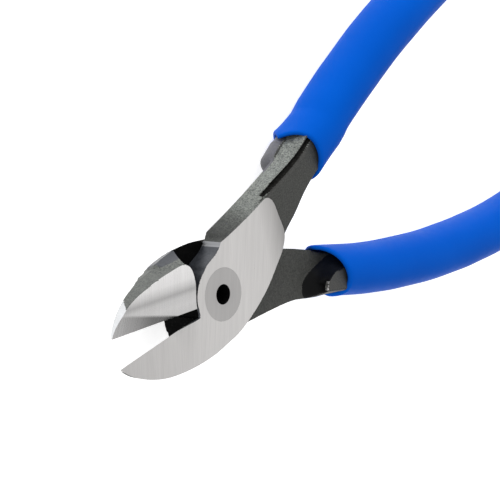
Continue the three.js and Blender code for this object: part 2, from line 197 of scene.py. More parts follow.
def contour(fn, xs, ys, zs):
    """The zero surface of fn as quads, with sharp edges kept (dual contouring)."""
    axes = (xs, ys, zs)
    gx, gy, gz = np.meshgrid(xs, ys, zs, indexing="ij")
    field = fn(gx.ravel(), gy.ravel(), gz.ravel()).reshape(gx.shape)
    cell_shape = np.array(field.shape) - 1
    pts_all, cell_all, quad_cells = [], [], []
    for ax in range(3):
        lo = [slice(None)] * 3
        hi = [slice(None)] * 3
        lo[ax], hi[ax] = slice(0, -1), slice(1, None)
        a, b = field[tuple(lo)], field[tuple(hi)]
        cross = (a < 0) != (b < 0)
        idx = np.argwhere(cross)
        fa, fb = a[cross], b[cross]
        t = fa / (fa - fb)
        p = np.stack([axes[k][idx[:, k]] for k in range(3)], 1).astype(float)
        step = axes[ax][idx[:, ax] + 1] - axes[ax][idx[:, ax]]
        # three false-position steps find the crossing where the field isn't linear
        t_lo, t_hi, f_lo, f_hi = np.zeros(len(t)), np.ones(len(t)), fa.copy(), fb.copy()
        for _ in range(3):
            q = p.copy()
            q[:, ax] += t * step
            f = fn(q[:, 0], q[:, 1], q[:, 2])
            same = (f < 0) == (f_lo < 0)
            t_lo, f_lo = np.where(same, t, t_lo), np.where(same, f, f_lo)
            t_hi, f_hi = np.where(same, t_hi, t), np.where(same, f_hi, f)
            den = f_lo - f_hi
            part = np.clip(f_lo / np.where(den == 0, 1, den), 0.02, 0.98)
            t = np.where(np.abs(den) > 1e-12, t_lo + (t_hi - t_lo) * part, t)
        p[:, ax] += t * step
        # the four cells around each crossing make a quad
        o1, o2 = [k for k in range(3) if k != ax]
        around = []
        for d1, d2 in ((0, 0), (-1, 0), (-1, -1), (0, -1)):
            c = idx.copy()
            c[:, o1] += d1
            c[:, o2] += d2
            around.append(c)
        ok = np.ones(len(idx), bool)
        for c in around:
            ok &= (c >= 0).all(1) & (c < cell_shape).all(1)
        flat = [np.ravel_multi_index(np.where(ok[:, None], c, 0).T, cell_shape) for c in around]
        flip = (fa < 0) if ax != 1 else (fa > 0)
        quad = np.stack(flat, 1)[ok]
        quad_cells.append(np.where(flip[ok][:, None], quad, quad[:, ::-1]))
        for c in flat:
            pts_all.append(p[ok])
            cell_all.append(c[ok])
    points = np.concatenate(pts_all)
    cells = np.concatenate(cell_all)

    # one normal for each crossing, which the cells around it share
    once, inverse = np.unique(np.round(points, 6), axis=0, return_inverse=True)

    def beside(k, shift):
        q = once.copy()
        q[:, k] += shift
        return fn(q[:, 0], q[:, 1], q[:, 2])

    g = np.stack([beside(k, PROBE) - beside(k, -PROBE) for k in range(3)], 1)
    g /= np.linalg.norm(g, axis=1, keepdims=True) + 1e-12
    normals = g[inverse.ravel()]

    # each vertex is where the planes at its cell's crossings come closest together
    ids, cell_of = np.unique(cells, return_inverse=True)
    cell_of = cell_of.ravel()
    m = len(ids)
    count = np.bincount(cell_of, minlength=m).astype(float)
    mean = np.stack([np.bincount(cell_of, points[:, k], m) / count for k in range(3)], 1)
    reach = (normals * (points - mean[cell_of])).sum(1)
    A = np.zeros((m, 3, 3))
    B = np.zeros((m, 3))
    for i in range(3):
        B[:, i] = np.bincount(cell_of, normals[:, i] * reach, m)
        for j in range(3):
            A[:, i, j] = np.bincount(cell_of, normals[:, i] * normals[:, j], m)
    A += np.eye(3) * (PULL * count)[:, None, None]
    offset = np.linalg.solve(A, B[..., None])[..., 0]
    ijk = np.stack(np.unravel_index(ids, cell_shape), 1)
    low = np.stack([axes[k][ijk[:, k]] for k in range(3)], 1)
    high = np.stack([axes[k][ijk[:, k] + 1] for k in range(3)], 1)
    margin = OVERHANG * (high - low)
    verts = np.clip(mean + offset, low - margin, high + margin)
    faces = np.searchsorted(ids, np.concatenate(quad_cells))
    return verts, faces.tolist()


def mesh_object(name, verts, faces):
    """A Blender object in the frame's metres, from points in the tool's millimetres."""
    me = bpy.data.meshes.new(name)
    v = np.asarray(verts, float).copy()
    v[:, 2] += HALF
    v *= 0.001
    me.from_pydata(v.tolist(), [], faces)
    me.validate()
    me.update()
    ob = bpy.data.objects.new(name, me)
    bpy.context.scene.collection.objects.link(ob)
    return ob


def smooth(ob, degrees):
    """Smooth shading, with edges sharper than this left sharp."""
    me = ob.data
    me.polygons.foreach_set("use_smooth", [True] * len(me.polygons))
    me.set_sharp_from_angle(angle=degrees * RAD)


# ---------------------------------------------------------------- cuts both levers share
FRONT_EDGE = (1.6, 1.52, 1)     # direction in degrees, offset from the pivot, side of the jaw
REAR_EDGE = (-9.9, 1.32, -1)
EDGE_Z = 4.0                    # height of the cutting edges
GAP_START, BEVEL_START = 7.7, 8.4       # distances along a cutting edge
BEVEL_ANGLE = 54 * RAD
FACET_RATE, FACET_START = 0.252, 12.3   # upper jaw's facet: v < rate * (run - start)


def edge_frame(x, y, edge):
    """Distance along a cutting edge, and distance from it into its jaw."""
    deg, offset, side = edge
    c, s = math.cos(deg * RAD), math.sin(deg * RAD)
    return c * x + s * y, side * (-s * x + c * y - offset)


def nose(x):
    """Height of the back of the jaws, which taper to the tip."""
    return np.interp(x, [12, 14, 16, 18, 20, 22, 24.5, 27, 30.5],
                     [-5.0, -2.9, -0.9, 0.3, 1.0, 1.6, 2.4, 3.0, 3.8])


def trim(body, x, y, z, run, v, front):
    """The cuts both jaws share: front facet, long back bevel, gap wall and taper."""
    bevel = ((EDGE_Z - z) - v * math.tan(BEVEL_ANGLE)) * math.cos(BEVEL_ANGLE)
    cut = np.maximum(np.maximum(front, -v), np.where(run > BEVEL_START, bevel, -9.0))
    body = np.where(run > GAP_START, np.maximum(body, cut), body)
    return np.where(x > 10, np.maximum(body, (nose(x) - z) * 0.9), body)


def seat(jaw, x, y, depth):
    """A jaw with the seat for the other half's disc cut out of it."""
    return np.maximum(jaw, -np.maximum(np.hypot(x, y) - SEAT, depth))


def end_tang(body, s, u, room):
    """A tang held inside its sleeve's cavity, and cut off at the end of the stub."""
    return smax(smax(body, np.abs(u) - room, 0.8), s - STUB_END, 1.5)


def rivet_room(fn, side):
    """A lever with the rivet's hole and the seat for its head taken out."""
    hole_radius, head_radius, head_height = 3.5, 5.41, 3.75

    def cut(x, y, z):
        r = np.hypot(x, y)
        head = np.maximum(r - head_radius, (head_height - z) if side > 0 else (z + head_height))
        return np.maximum(fn(x, y, z), -np.minimum(r - hole_radius, head))
    return cut


def lever_mesh(fn, side, y0, y1):
    """Surface of a lever; its cells are coarser deep inside the sleeve."""
    xs = np.concatenate([np.arange(-53, -42, COARSE_CELL), np.arange(-42, 30.7, CELL)])
    ys = np.arange(y0, y1, CELL)
    zs = np.arange(-5.6, 5.31, CELL)
    return contour(rivet_room(fn, side), xs, ys, zs)


# ---------------------------------------------------------------- handle lines
# Stations of the rear handle: x, y, and the sleeve's half width and half thickness.
HANDLE = [
    (-35.9, 10.7, 6.1, 6.3), (-38.4, 11.55, 5.9, 6.4), (-42.0, 12.9, 5.85, 6.45),
    (-46.4, 14.6, 5.9, 6.5), (-49.7, 15.8, 5.95, 6.5), (-54.2, 17.3, 6.0, 6.55),
    (-58.7, 18.7, 6.1, 6.6), (-63.4, 20.0, 6.15, 6.6), (-68.2, 21.3, 6.2, 6.65),
    (-73.2, 22.6, 6.25, 6.7), (-78.3, 23.7, 6.3, 6.7), (-83.6, 24.7, 6.35, 6.75),
    (-88.9, 25.7, 6.4, 6.8), (-94.5, 26.5, 6.4, 6.8), (-100.3, 27.3, 6.45, 6.8),
    (-106.1, 27.9, 6.45, 6.8), (-112.0, 28.3, 6.5, 6.8), (-119.0, 28.5, 6.5, 6.75),
    (-126.0, 28.3, 6.5, 6.7), (-133.0, 27.8, 6.45, 6.6), (-139.0, 27.1, 6.3, 6.4),
    (-143.5, 26.4, 5.9, 6.0), (-146.6, 25.9, 5.2, 5.3), (-148.4, 25.6, 4.1, 4.2),
    (-149.3, 25.4, 2.4, 2.4)]
# The front handle is its mirror image turned by SPREAD, but for x, y and half width here.
SPREAD = 7.2 * RAD
FRONT_HANDLE_START = (
    (-34.0, -16.3, 6.9), (-36.9, -17.25, 6.45), (-40.3, -18.5, 6.15), (-44.6, -20.15, 6.0))


def handle(side):
    """Stations of a handle: 1 for the rear one, -1 for the front one."""
    rows = []
    for i, (x, y, half, thick) in enumerate(HANDLE):
        if side < 0:
            c, s = math.cos(SPREAD), math.sin(SPREAD)
            x, y = c * x + s * y, s * x - c * y
            if i < len(FRONT_HANDLE_START):
                x, y, half = FRONT_HANDLE_START[i]
        rows.append((x, y, half, thick))
    return rows


def tang_line(side):
    """Centre line of a tang, from the neck into the sleeve."""
    first = (-27.0, 7.7) if side > 0 else (-27.2, -12.6)
    return [first] + [(r[0], r[1]) for r in handle(side)[:7]]


# ---------------------------------------------------------------- front lever
FRONT_FACE = spline([
    (30.0, 2.32), (28.9, 3.6), (27.0, 5.35), (23.9, 7.3), (20, 8.9), (15, 10.0), (10, 10.5),
    (5.7, 10.5), (2.1, 10.05), (-1.5, 9.5), (-5, 8.4), (-10, 6.1), (-13.6, 3.9), (-17.1, 1.1), (-20, -1.4),
    (-21.35, -3.3), (-21.75, -5), (-21.1, -8.6), (-20.4, -11.8), (-19.6, -13.05), (-18.4, -13.6),
    (-17.2, -13.4), (-15.7, -13.0), (-10, -11.6), (-4.6, -10.5), (-2.6, -10.2), (-2.15, -9.55),
    (-0.6, -8.55), (1.2, -7.9), (2.9, -7.2)] + arc(DISC, -62, 8, 11) + [(7.75, 1.6)],
    corners=(0, 25, 26, 41))
FRONT_NECK_TOP = spline([
    (-2.6, -10.2), (-4.6, -10.55), (-10, -11.65), (-15.7, -13.1), (-18.2, -14.25), (-21.2, -15.9),
    (-24.9, -16.95), (-28.6, -17.95), (-31.9, -19.35), (-34.5, -20.8), (-39, -23.2), (-42, -15),
    (-35.35, -12.45), (-30.9, -9.95), (-26.8, -7.0), (-22.6, -4.4), (-17, 0.2), (-10, 3), (-3, 3),
    (-2.6, -6)],
    corners=(0, 10, 11, 16, 17, 18, 19))
FRONT_NECK_LOW = spline([
    (-2.75, -9.9), (-4.05, -11.55), (-9.6, -12.9), (-15.4, -14.45), (-18.4, -15.3), (-22.6, -16.6),
    (-25.3, -17.5), (-28.6, -18.7), (-31.9, -20.1), (-34.5, -21.5), (-39, -23.9), (-42, -14.6),
    (-35.8, -11.9), (-31.3, -9.3), (-27.1, -6.3), (-23, -3.8), (-17, 0.2), (-10, 3), (-3, 3),
    (-2.6, -6)],
    corners=(0, 1, 10, 11, 16, 17, 18, 19))
FRONT_JAW = spline([
    (30.0, 2.32), (28.9, 3.6), (27.0, 5.35), (23.9, 7.3), (20, 8.9), (15, 10.0), (10, 10.5),
    (6.6, 10.5), (6.4, 8.6), (6.8, 5.2), (7.9, 1.5)],
    corners=(0, 7, 8, 10))
TRENCH = [
    (-17.9, -13.95), (-19.6, -14.3), (-21.8, -15.15), (-24.4, -15.85), (-27.8, -16.8),
    (-30.6, -17.75), (-33.1, -18.85), (-36.5, -20.55), (-40.5, -22.6)]


def front_lever():
    """Plate, neck, tang and jaw joined, then cut; s and u run along and across the tang."""
    pl = Plane(-54, 31, -30, 13)
    face = pl.outline(FRONT_FACE)
    neck_top = pl.outline(FRONT_NECK_TOP)
    neck_low = pl.outline(FRONT_NECK_LOW)
    jaw = pl.outline(FRONT_JAW)
    along, side = pl.line(tang_line(-1))
    groove_along, groove_side = pl.line(TRENCH)
    oval_power, half_thick = 2.6, 4.75
    parting = 0.75      # the flank is full below this height

    def fn(x, y, z):
        s, u = pl.read(along, x, y), pl.read(side, x, y)
        plate = smax(smax(pl.read(face, x, y), z - HALF, 0.1), LAP - z, 0.08)
        # neck: its outline changes from the lap face up to the front flat
        t = np.clip((z - LAP) / (NECK_FLAT - LAP), 0, 1)
        n = pl.read(neck_low, x, y) * (1 - t) + pl.read(neck_top, x, y) * t
        neck = smax(smax(n, z - NECK_FLAT, 0.4), LAP - z, 0.15)
        neck = smax(neck, s - 13, 1.0)
        # tang: an oval section behind a rounded shoulder, with a flank that leans out
        half_wide = np.where(u > 0, 5.25, 4.75)
        q = (np.abs(u / half_wide) ** oval_power
             + np.abs((z + 0.1) / half_thick) ** oval_power) ** (1 / oval_power)
        shoulder = 2.9 + 0.35 * np.maximum(1.2 - u, 0) + 0.35 * np.maximum(u - 4.0, 0) ** 2 - s
        tang = smax((q - 1) * 4.2, shoulder, 1.5)
        flank = (u - 4.0 - (4.5 - z) * 0.2) * 0.97 - np.maximum(parting - z, 0) * 1.2
        tang = smax(tang, flank, 0.2)
        room = np.interp(s, [-6, 0, 4, 7.7, 11, 16], [40, 12, 9, 5.55, 4.85, 4.45])
        body = end_tang(smin(neck, tang, 0.35), s, u, room)
        # trench between the flank and the front flat of the neck
        gs, gu = pl.read(groove_along, x, y), pl.read(groove_side, x, y)
        wide = np.interp(gs, [0, 1.2, 4, 14, 22], [0.8, 1.0, 0.95, 0.85, 0.75])
        trench = (np.abs(gu) - wide + (NECK_FLAT - z) * 0.5) * 0.88
        trench = smax(trench, -gs, 0.3)
        body = np.minimum(smax(body, -trench, 0.16), plate)
        # jaw: its outer edge bulges at the middle plane and leans in at the back
        lean = np.interp(z, [-5, 0, 4.4, 5], [0.9, -0.35, 0.0, 0.0]) * ramp01(y, 6, 9)
        jd = smax(smax(pl.read(jaw, x, y) + lean, z - HALF, 0.1), -HALF - z, 0.3)
        body = np.minimum(body, seat(jd, x, y, z - LAP))
        run, v = edge_frame(x, y, FRONT_EDGE)
        # facet: from the ground face down to the cutting edge, widening along the run
        level = HALF - ramp01(run, 7.9, 15) * (HALF - EDGE_Z)
        facet = (z - level - (HALF - level) * v / 7.0) * 0.99
        return trim(body, x, y, z, run, v, facet)

    return lever_mesh(fn, 1, -29.1, 12.4)


# ---------------------------------------------------------------- rear lever
REAR_PLATE = spline(
    arc(DISC, -30, 70, 12) + [
        (1.3, 8.2), (-1.6, 9.0), (-2.4, 10.3), (-6, 10.9), (-10.3, 11.35), (-17.5, 12.05),
        (-24.3, 12.95), (-28.9, 14.1), (-33.8, 15.7), (-40, 17.6), (-40, 7.6), (-34.3, 4.9),
        (-29.5, 2.6), (-25.4, 0.8), (-21.8, -1.2), (-19.5, -2.9), (-15, -5.8), (-10, -8.1),
        (-5, -9.85), (-2.8, -10.45), (1.2, -11.35), (5.8, -11.8), (6.9, -10.7), (7.4, -4.5)],
    corners=(0, 11, 13, 14, 21, 22, 33, 35))
REAR_JAW_TOP = spline([
    (30.0, -3.85), (29.2, -5.1), (27.5, -6.7), (25, -8.2), (22, -9.1), (18.5, -9.65), (15, -9.95),
    (11.4, -10.0), (8.7, -9.85), (7.5, -9.4), (6.75, -8.5), (6.55, -5.7), (7.3, -3.1),
    (7.95, -0.3), (8.1, 0.3), (29, -1)],
    corners=(0, 14, 15))
REAR_JAW_MID = spline([
    (30.0, -3.85), (29.2, -5.1), (27.5, -6.7), (25, -8.15), (22, -9.0), (18.5, -9.55),
    (12.1, -10.35), (11.5, -10.95), (9.6, -11.3), (5.8, -11.75), (6.0, -8.4), (6.55, -5.7),
    (7.3, -3.1), (7.95, -0.3), (8.1, 0.3), (29, -1)],
    corners=(0, 6, 7, 9, 14, 15))
BOSS_DEPTH = 4.8        # from the boss's front flat down to the lap face
SCOOP_RADIUS = 4.0      # of the hollow ramp in front of the boss


def scoop(s, start, z, radius):
    """Positive where a cylinder of this radius has been milled away in front of the boss."""
    d = s - start
    inside = radius - np.hypot(d, z - radius)
    past = np.where(z > radius, radius - d, inside)
    return np.where(d < 0, z, np.where(d < radius, past, radius - d))


def rear_lever():
    """Plate, boss and jaw joined, then cut; s and u run along and across the tang."""
    pl = Plane(-54, 31, -14, 25)
    plate = pl.outline(REAR_PLATE)
    top = pl.outline(REAR_JAW_TOP)
    mid = pl.outline(REAR_JAW_MID)
    along, side = pl.line(tang_line(1))

    def fn(x, y, z):
        s, u = pl.read(along, x, y), -pl.read(side, x, y)
        # plate behind the lap face, with edges that lean in towards the back
        lean = np.interp(z, [-5, -2.5, 0], [2.5, 1.0, 0.0])
        lean = lean * ramp01(-y, 3.5, 7.0) * ramp01(x, -24, -16)
        taper = np.interp(z, [-5, 0], [0.7, 0]) * ramp01(-x, 12, 20)
        p = smax(pl.read(plate, x, y) + lean + taper, z + LAP, 0.15)
        p = smax(p, NECK_BACK - z, 0.5)
        # boss on the outer half of the tang, with a slanted inner flat and a hollow ramp
        t = np.clip((NECK_FLAT - z) / BOSS_DEPTH, 0, 1)
        inner = (0.4 - 0.23 * (s - 6.6)) * (1 - t) + (0.2 - 0.51 * (s - 4.9)) * t
        inner = inner - ramp01(s, 13, 17) * 5
        outer = 4.0 + 1.65 * t - np.maximum(-LAP - z, 0) * 0.28
        start = 2.6 + 0.45 * np.maximum(2.7 - u, 0) ** 1.6 + 0.5 * np.maximum(u - 4.2, 0) ** 2
        boss = smax((inner - u) * 0.92, z - NECK_FLAT, 0.3)
        boss = smax(boss, (u - outer) * 0.95, 0.9)
        boss = smax(boss, scoop(s, start, z + LAP, SCOOP_RADIUS), 0.25)
        boss = smax(boss, NECK_BACK - z, 0.6)
        room_out = np.interp(s, [-6, 0, 4, 9.0, 12, 17], [40, 12, 9, 5.6, 4.85, 4.45])
        room_in = np.interp(s, [-6, 0, 4.5, 6.6, 10, 16], [40, 12, 9, 5.0, 4.25, 4.1])
        body = end_tang(np.minimum(p, boss), s, u, np.where(u > 0, room_out, room_in))
        # jaw: the step in its outline is sharp at the middle plane and fades to the front
        t = np.clip(z / HALF, 0, 1)
        j = pl.read(mid, x, y) * (1 - t) + pl.read(top, x, y) * t
        lean = np.interp(z, [-5, -2.5, 0], [2.6, 0.9, 0.0])
        lean = lean * ramp01(-y, 5.0, 7.5) * ramp01(-x, -21, -16)
        crown = 0.013 * np.maximum(-y - 4.5, 0) ** 2 + 0.05 * np.maximum(7.6 - x, 0) ** 2
        jd = smax(smax(j + lean, z - HALF + crown, 0.1), -HALF - z, 0.3)
        body = np.minimum(body, seat(jd, x, y, -LAP - z))
        run, v = edge_frame(x, y, REAR_EDGE)
        # facet: its border on the ground face runs off at FACET_RATE
        slope = 0.85 / np.clip(FACET_RATE * (run - FACET_START), 0.3, 9)
        facet = (z - EDGE_Z - slope * v) / np.sqrt(1 + slope * slope)
        return trim(body, x, y, z, run, v, facet)

    return lever_mesh(fn, -1, -12.6, 24.4)


# ---------------------------------------------------------------- sleeves
SLEEVE_SIDES, SLEEVE_POWER = 64, 2.15
SLEEVE_INSET = 0.03         # keeps the sleeve just inside the CAD's
ROUND_END = 10.0            # length of the rounded end
# distance from the mouth, and how far the surface is drawn in there: the cavity from deep
# inside to the mouth, then the rounded lip, then the outside
MOUTH = ((16, 6.0), (16, 1.6), (12, 1.4), (8, 1.25), (4, 1.15), (1.2, 1.1), (0.35, 1.02),
         (0.08, 0.86), (0.0, 0.62), (0.1, 0.36), (0.4, 0.14), (0.9, 0.03), (1.6, 0.0))


def oval(x, y, heading, half, thick, lean=0.0, rake=0.0, skew=0.0):
    """A ring across a handle; lean, rake and skew push parts of it along the handle."""
    c, s = math.cos(heading), math.sin(heading)
    t = np.arange(SLEEVE_SIDES) * 2 * math.pi / SLEEVE_SIDES
    u = np.sign(np.cos(t)) * np.abs(np.cos(t)) ** (2 / SLEEVE_POWER) * half
    w = np.sign(np.sin(t)) * np.abs(np.sin(t)) ** (2 / SLEEVE_POWER) * thick
    push = lean * u + (rake + skew * u) * np.abs(w) / thick
    return np.stack([x - s * u + c * push, y + c * u + s * push, w], 1)


def sleeve(side):
    """A dipped sleeve as one closed skin, with a cavity for the tang's stub."""
    rows = np.array(handle(side))
    fine = spline([tuple(r[:2]) for r in rows], closed=False, step=1.0)
    seg = np.r_[0, np.cumsum(np.linalg.norm(np.diff(fine, axis=0), axis=1))]
    knots = np.r_[0, np.cumsum(np.linalg.norm(np.diff(rows[:, :2], axis=0), axis=1))]
    knots *= seg[-1] / knots[-1]
    half_k = spline(np.stack([knots, rows[:, 2]], 1), closed=False, step=0.5)
    thick_k = spline(np.stack([knots, rows[:, 3]], 1), closed=False, step=0.5)
    lean, rake, skew = (-0.52, 2.7, 0.0) if side > 0 else (-0.1, 3.0, 0.3)

    def at(s):
        return np.interp(s, seg, fine[:, 0]), np.interp(s, seg, fine[:, 1])

    def girth(s):
        return (np.interp(s, half_k[:, 0], half_k[:, 1]),
                np.interp(s, thick_k[:, 0], thick_k[:, 1]))

    def heading(a, b):
        return math.atan2(b[1] - a[1], b[0] - a[0])

    def ring(s, shrink):
        x, y = at(s)
        half, thick = girth(s)
        share = max(0.0, 1 - s / 8.0) ** 1.3
        return oval(x, y, heading(at(s - 0.8), at(s + 0.8)), half - SLEEVE_INSET - shrink,
                    thick - SLEEVE_INSET - shrink, lean * share, rake * share, skew * share)

    tail = seg[-1] - ROUND_END
    rings = [ring(s, shrink) for s, shrink in MOUTH]
    rings += [ring(s, 0.0) for s in np.arange(2.6, tail, 1.6)]
    half, thick = girth(tail)
    for a in np.linspace(0, 89, 16):
        s = tail + ROUND_END * math.sin(a * RAD)
        x, y = at(s)
        k = math.cos(a * RAD) ** 0.62
        rings.append(oval(x, y, heading(at(s - 1.5), (x, y)), half * k, thick * k))
    faces = []
    n = len(rings)
    for k in range(n - 1):
        for i in range(SLEEVE_SIDES):
            j = (i + 1) % SLEEVE_SIDES
            near, far = k * SLEEVE_SIDES, (k + 1) * SLEEVE_SIDES
            faces.append((near + i, far + i, far + j, near + j))
    faces.append(tuple(range(SLEEVE_SIDES)))
    faces.append(tuple(reversed(range((n - 1) * SLEEVE_SIDES, n * SLEEVE_SIDES))))
    return np.concatenate(rings), faces


# ---------------------------------------------------------------- rivet
# radius and height, from the floor of the blind hole round to the middle of the back
RIVET_PROFILE = [
    (0.0, -3.2), (1.7, -3.2), (1.95, -3.0), (2.0, 4.86), (2.06, 4.96), (2.16, 5.0), (5.4, 5.0),
    (5.4, 3.8), (3.4, 3.8), (3.4, -3.8), (5.4, -3.8), (5.4, -4.93), (5.32, -5.0), (0.0, -5.0)]
RIVET_SIDES = 96


def rivet():
    """The profile turned about the pivot, as one closed skin."""
    turns = [2 * math.pi * i / RIVET_SIDES for i in range(RIVET_SIDES)]
    verts, faces, rows = [], [], []
    for r, z in RIVET_PROFILE:
        first = len(verts)
        ring = [(r * math.cos(a), r * math.sin(a), z) for a in turns] if r else [(0, 0, z)]
        verts += ring
        rows.append(range(first, first + len(ring)))
    for a, b in zip(rows, rows[1:]):
        for i in range(RIVET_SIDES):
            j = (i + 1) % RIVET_SIDES
            if len(a) == 1:
                faces.append((a[0], b[i], b[j]))
            elif len(b) == 1:
                faces.append((a[i], b[0], a[j]))
            else:
                faces.append((a[i], b[i], b[j], a[j]))
    return np.array(verts), faces


# ---------------------------------------------------------------- material recipes
def material(name):
    m = bpy.data.materials.new(name)
    m.use_nodes = True
    nt = m.node_tree
    return m, nt, next(n for n in nt.nodes if n.type == "BSDF_PRINCIPLED")


def grey(v):
    return (v, v, v)


def mapped(nt, scale, turn=0.0):
    """Object coordinates turned about Z by so many degrees, then stretched."""
    tc = nt.nodes.new("ShaderNodeTexCoord")
    rot = nt.nodes.new("ShaderNodeMapping")
    rot.inputs["Rotation"].default_value = (0, 0, -turn * RAD)
    nt.links.new(tc.outputs["Object"], rot.inputs["Vector"])
    mp = nt.nodes.new("ShaderNodeMapping")
    mp.inputs["Scale"].default_value = scale
    nt.links.new(rot.outputs["Vector"], mp.inputs["Vector"])
    return mp.outputs["Vector"]


def noise(nt, scale, turn, detail, rough):
    """Noise of so many waves per metre along each axis, turned about Z."""
    n = nt.nodes.new("ShaderNodeTexNoise")
    n.inputs["Scale"].default_value = 1.0
    n.inputs["Detail"].default_value = detail
    n.inputs["Roughness"].default_value = rough
    nt.links.new(mapped(nt, scale, turn), n.inputs["Vector"])
    return n.outputs["Fac"]


def ramp(nt, fac, stops):
    n = nt.nodes.new("ShaderNodeValToRGB")
    nt.links.new(fac, n.inputs["Fac"])
    el = n.color_ramp.elements
    while len(el) < len(stops):
        el.new(0.5)
    for e, (pos, col) in zip(el, stops):
        e.position = pos
        e.color = (*col, 1)
    return n.outputs["Color"]


def along_axis(nt, direction, low, high):
    """How far a point is from low to high along a direction, in metres, as 0 to 1."""
    tc = nt.nodes.new("ShaderNodeTexCoord")
    dot = nt.nodes.new("ShaderNodeVectorMath")
    dot.operation = "DOT_PRODUCT"
    dot.inputs[1].default_value = direction
    nt.links.new(tc.outputs["Object"], dot.inputs[0])
    rng = nt.nodes.new("ShaderNodeMapRange")
    rng.inputs["From Min"].default_value = low
    rng.inputs["From Max"].default_value = high
    nt.links.new(dot.outputs["Value"], rng.inputs["Value"])
    return rng.outputs["Result"]


def shade(nt, direction, low, high, stops):
    """A grey that changes along a direction, with stops from low to high; the materials use it for painted
    light and shade.
    """
    return ramp(nt, along_axis(nt, direction, low, high), [(p, grey(v)) for p, v in stops])


def mix_values(nt, a, b, share):
    n = nt.nodes.new("ShaderNodeMix")
    n.data_type = "FLOAT"
    n.inputs[0].default_value = share
    nt.links.new(a, n.inputs[2])
    nt.links.new(b, n.inputs[3])
    return n.outputs[0]


def mix_colours(nt, a, b, mode, share=None):
    """Colours blended in full, or by the share that another socket gives."""
    n = nt.nodes.new("ShaderNodeMix")
    n.data_type = "RGBA"
    n.blend_type = mode
    n.inputs[0].default_value = 1.0
    if share:
        nt.links.new(share, n.inputs[0])
    nt.links.new(a, n.inputs[6])
    nt.links.new(b, n.inputs[7])
    return n.outputs[2]


def bump(nt, bsdf, height, strength, distance):
    b = nt.nodes.new("ShaderNodeBump")
    b.inputs["Strength"].default_value = strength
    b.inputs["Distance"].default_value = distance
    nt.links.new(height, b.inputs["Height"])
    nt.links.new(b.outputs["Normal"], bsdf.inputs["Normal"])


def ground_steel(name, tint, grain_deg, rough, painted_light=None, swap=None):
    """Fine parallel grinding lines on bright steel, with painted light and shade multiplied over them in
    the form that shade() takes.

    swap is a direction, two limits and a second painted ramp: past that line, the second one takes over.
    """
    m, nt, bsdf = material(name)
    bsdf.inputs["Metallic"].default_value = 1.0
    lines = noise(nt, (90, 4200, 300), grain_deg, 5.0, 0.6)
    broad = noise(nt, (60, 900, 100), grain_deg, 3.0, 0.5)
    dark, light = tuple(c * 0.9 for c in tint), tuple(min(1, c * 1.08) for c in tint)
    col = ramp(nt, mix_values(nt, lines, broad, 0.35), [(0.3, dark), (0.7, light)])
    # painted light and shade, multiplied over the grinding lines
    if painted_light:
        grade = shade(nt, *painted_light)
        if swap:
            way, start, stop, other = swap
            grade = mix_colours(nt, grade, shade(nt, *other), "MIX",
                                along_axis(nt, way, start, stop))
        col = mix_colours(nt, col, grade, "MULTIPLY")
    nt.links.new(col, bsdf.inputs["Base Color"])
    rr = ramp(nt, lines, [(0.25, grey(rough - 0.07)), (0.75, grey(rough + 0.08))])
    nt.links.new(rr, bsdf.inputs["Roughness"])
    bump(nt, bsdf, lines, 0.2, 0.00003)
    return m


def forged_steel(name, dark, light, rough=0.62, grit=1.0, metallic=0.35, shine=0.5, painted_light=None):
    """Sand-blasted, oiled forging skin: fine grit with slow mottling, and any painted light and shade
    multiplied over it.
    """
    m, nt, bsdf = material(name)
    bsdf.inputs["Metallic"].default_value = metallic
    bsdf.inputs["Specular IOR Level"].default_value = shine
    fine = noise(nt, (3200, 3200, 3200), 0.0, 3.0, 0.7)
    slow = noise(nt, (1100, 1100, 1100), 0.0, 4.0, 0.6)
    both = mix_values(nt, fine, slow, 0.3)
    col = ramp(nt, both, [(0.36, dark), (0.64, light)])
    if painted_light:
        col = mix_colours(nt, col, shade(nt, *painted_light), "MULTIPLY")
    nt.links.new(col, bsdf.inputs["Base Color"])
    rr = ramp(nt, slow, [(0.3, grey(rough - 0.1)), (0.7, grey(rough + 0.1))])
    nt.links.new(rr, bsdf.inputs["Roughness"])
    bump(nt, bsdf, both, 0.55 * grit, 0.00012)
    return m


def blue_vinyl(name):
    """Dipped vinyl: smooth, satin, very slightly uneven."""
    m, nt, bsdf = material(name)
    slow = noise(nt, (45, 45, 45), 0.0, 2.0, 0.5)
    skin = noise(nt, (420, 420, 420), 0.0, 3.0, 0.5)
    col = ramp(nt, slow, [(0.3, (0.0, 0.064, 0.385)), (0.7, (0.0, 0.074, 0.43))])
    nt.links.new(col, bsdf.inputs["Base Color"])
    rr = ramp(nt, skin, [(0.3, grey(0.4)), (0.7, grey(0.48))])
    nt.links.new(rr, bsdf.inputs["Roughness"])
    bsdf.inputs["Specular IOR Level"].default_value = 0.02
    bump(nt, bsdf, skin, 0.12, 0.00015)
    return m


# ---------------------------------------------------------------- materials
def facet_side(blur):
    """Direction and limits, in metres, that tell the upper jaw's edge facet from its face, where the
    facet's painted shade takes over.
    """
    deg, offset, side = REAR_EDGE
    c, s = math.cos(deg * RAD), math.sin(deg * RAD)
    way = np.array([FACET_RATE * c + side * s, FACET_RATE * s - side * c, 0.0])
    level = FACET_RATE * FACET_START - side * offset
    size = np.linalg.norm(way)
    return tuple(way / size), (level / size - blur) * 0.001, (level / size + blur) * 0.001


GRAIN = 68                                  # direction of the grinding lines, in degrees
TO_TIPS, TO_HANDLES = (1, 0, 0), (-1, 0, 0)
ACROSS_JAW = (-0.1719, -0.9851, 0.0)        # from the upper jaw's edge into the jaw
